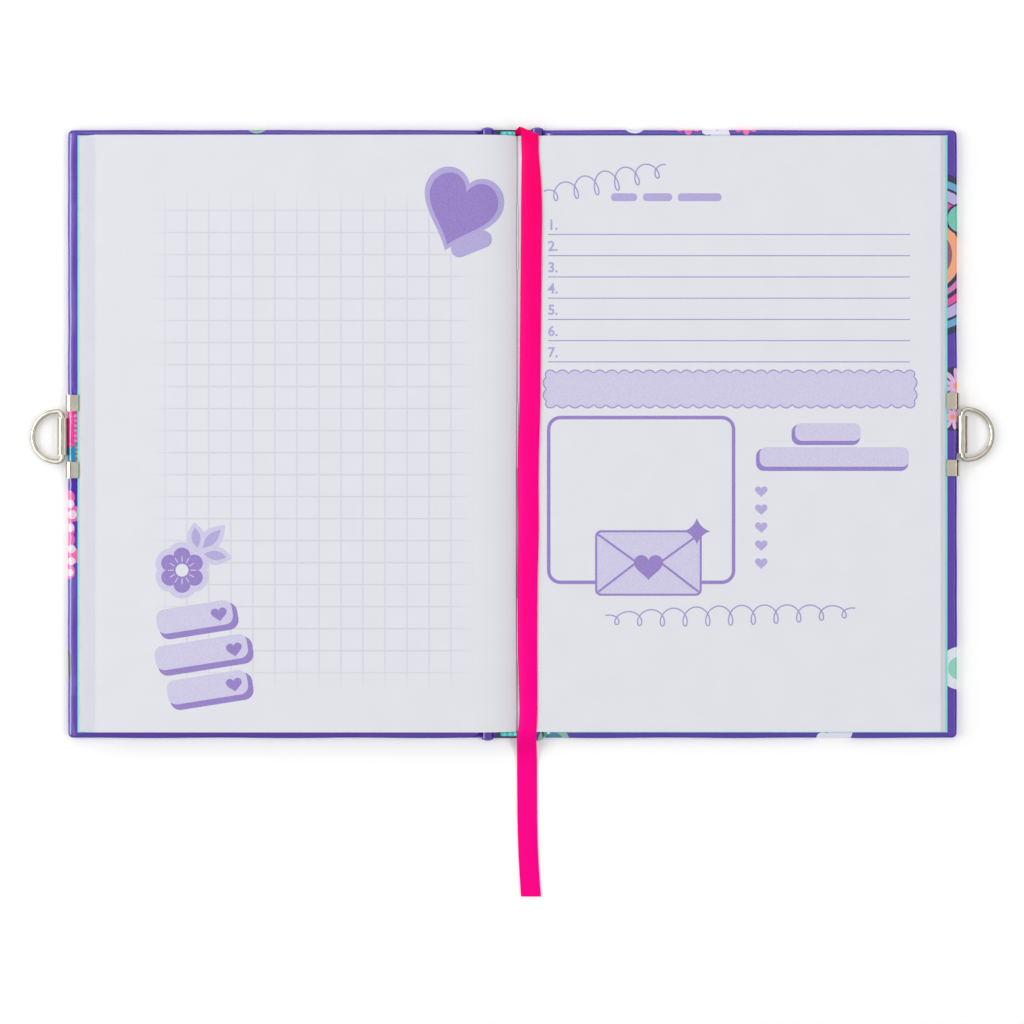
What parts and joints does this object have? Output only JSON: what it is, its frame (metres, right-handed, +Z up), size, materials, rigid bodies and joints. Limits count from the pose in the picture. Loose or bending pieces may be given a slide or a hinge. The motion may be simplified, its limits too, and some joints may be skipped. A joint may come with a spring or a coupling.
{
  "type": "secret diary",
  "caption": "Hardback secret diary lying open: wrapped boards, sewn signatures, satin ribbon, and a clasp plate with a D-ring for a lock on each cover.",
  "frame": {"origin": "on the table under the middle of the spine, at the middle of the cover's height", "axes": "+X towards the back cover, +Y towards the head of the pages, +Z up from the table"},
  "size_m": [0.3174, 0.253, 0.0069],
  "materials": {
    "laminate": "gloss film over printed paper",
    "greyboard": "raw",
    "lining_paper": "uncoated",
    "paper": "uncoated, lightly printed",
    "spine_cloth": "woven mull",
    "band_weave": "woven",
    "thread": "spun",
    "nickel": "bright nickel plate on steel",
    "satin": "satin weave"
  },
  "bodies": {
    "spine": {"spine_board": "greyboard", "spine_wrap": "laminate", "spine_cloth": "spine_cloth", "headband": "band_weave", "tailband": "band_weave", "sewing_stitch_1": "thread", "sewing_stitch_2": "thread", "sewing_stitch_3": "thread", "front_joint": "laminate", "back_joint": "laminate"},
    "front_cover": {"front_board": "greyboard", "front_wrap": "laminate", "front_lining": "lining_paper", "front_clasp_plate": "nickel"},
    "back_cover": {"back_board": "greyboard", "back_wrap": "laminate", "back_lining": "lining_paper", "back_clasp_plate": "nickel"},
    "front_ring": {"front_d_ring": "nickel"},
    "back_ring": {"back_d_ring": "nickel"},
    "left_packet_1": {"front_flyleaf": "lining_paper", "signature_1": "paper", "signature_1_fold": "paper"},
    "left_packet_2": {"signature_2": "paper", "signature_2_fold": "paper"},
    "left_packet_3": {"signature_3": "paper", "signature_3_fold": "paper"},
    "left_packet_4": {"signature_4": "paper", "signature_4_fold": "paper"},
    "left_packet_5": {"signature_5_left": "paper", "signature_5_left_fold": "paper"},
    "turning_leaf": {"left_leaf": "paper", "left_leaf_fold": "paper"},
    "right_packet_1": {"back_flyleaf": "lining_paper", "signature_6": "paper", "signature_6_fold": "paper"},
    "right_packet_2": {"signature_5_right": "paper", "signature_5_right_fold": "paper", "right_leaf": "paper", "right_leaf_fold": "paper", "ribbon_bookmark": "satin"}
  },
  "joints": [
    {"name": "front_cover_hinge", "type": "hinge", "parent": "spine", "child": "front_cover", "pos_m": [-0.00446, 0, 0.00175], "axis": [0, 1, 0], "range_deg": [0, 90], "deforming": ["front_joint"]},
    {"name": "back_cover_hinge", "type": "hinge", "parent": "spine", "child": "back_cover", "pos_m": [0.00446, 0, 0.00175], "axis": [0, -1, 0], "range_deg": [0, 90], "deforming": ["back_joint"]},
    {"name": "left_packet_1_hinge", "type": "hinge", "parent": "spine", "child": "left_packet_1", "pos_m": [-0.00261, 0, 0.00292], "axis": [0, 1, 0], "range_deg": [0, 90], "deforming": ["signature_1_fold"]},
    {"name": "left_packet_2_hinge", "type": "hinge", "parent": "spine", "child": "left_packet_2", "pos_m": [-0.00196, 0, 0.00357], "axis": [0, 1, 0], "range_deg": [0, 90], "deforming": ["signature_2_fold"]},
    {"name": "left_packet_3_hinge", "type": "hinge", "parent": "spine", "child": "left_packet_3", "pos_m": [-0.00132, 0, 0.00421], "axis": [0, 1, 0], "range_deg": [0, 90], "deforming": ["signature_3_fold"]},
    {"name": "left_packet_4_hinge", "type": "hinge", "parent": "spine", "child": "left_packet_4", "pos_m": [-0.00068, 0, 0.00485], "axis": [0, 1, 0], "range_deg": [0, 90], "deforming": ["signature_4_fold"]},
    {"name": "left_packet_5_hinge", "type": "hinge", "parent": "spine", "child": "left_packet_5", "pos_m": [-0.00023, 0, 0.0053], "axis": [0, 1, 0], "range_deg": [0, 90], "deforming": ["signature_5_left_fold"]},
    {"name": "leaf_turn", "type": "hinge", "parent": "left_packet_5", "child": "turning_leaf", "pos_m": [0.00144, 0, 0.006], "axis": [0, -1, 0], "range_deg": [-175, 0], "deforming": ["left_leaf_fold"]},
    {"name": "right_packet_1_hinge", "type": "hinge", "parent": "spine", "child": "right_packet_1", "pos_m": [0.00261, 0, 0.00292], "axis": [0, -1, 0], "range_deg": [0, 90], "deforming": ["signature_6_fold"]},
    {"name": "right_packet_2_hinge", "type": "hinge", "parent": "spine", "child": "right_packet_2", "pos_m": [0.00212, 0, 0.00341], "axis": [0, -1, 0], "range_deg": [0, 90], "deforming": ["signature_5_right_fold", "right_leaf_fold", "ribbon_bookmark"]},
    {"name": "front_ring_swing", "type": "hinge", "parent": "front_cover", "child": "front_ring", "pos_m": [-0.14796, -0.0009, 0.00175], "axis": [0, -1, 0], "range_deg": [-105, 0]},
    {"name": "back_ring_swing", "type": "hinge", "parent": "back_cover", "child": "back_ring", "pos_m": [0.14796, -0.0002, 0.00175], "axis": [0, 1, 0], "range_deg": [-105, 0]}
  ],
  "couplings": [
    {"joint": "left_packet_1_hinge", "follows": "front_cover_hinge", "ratio": 1},
    {"joint": "left_packet_2_hinge", "follows": "front_cover_hinge", "ratio": 1},
    {"joint": "left_packet_3_hinge", "follows": "front_cover_hinge", "ratio": 1},
    {"joint": "left_packet_4_hinge", "follows": "front_cover_hinge", "ratio": 1},
    {"joint": "left_packet_5_hinge", "follows": "front_cover_hinge", "ratio": 1},
    {"joint": "right_packet_1_hinge", "follows": "back_cover_hinge", "ratio": 1},
    {"joint": "right_packet_2_hinge", "follows": "back_cover_hinge", "ratio": 1}
  ]
}
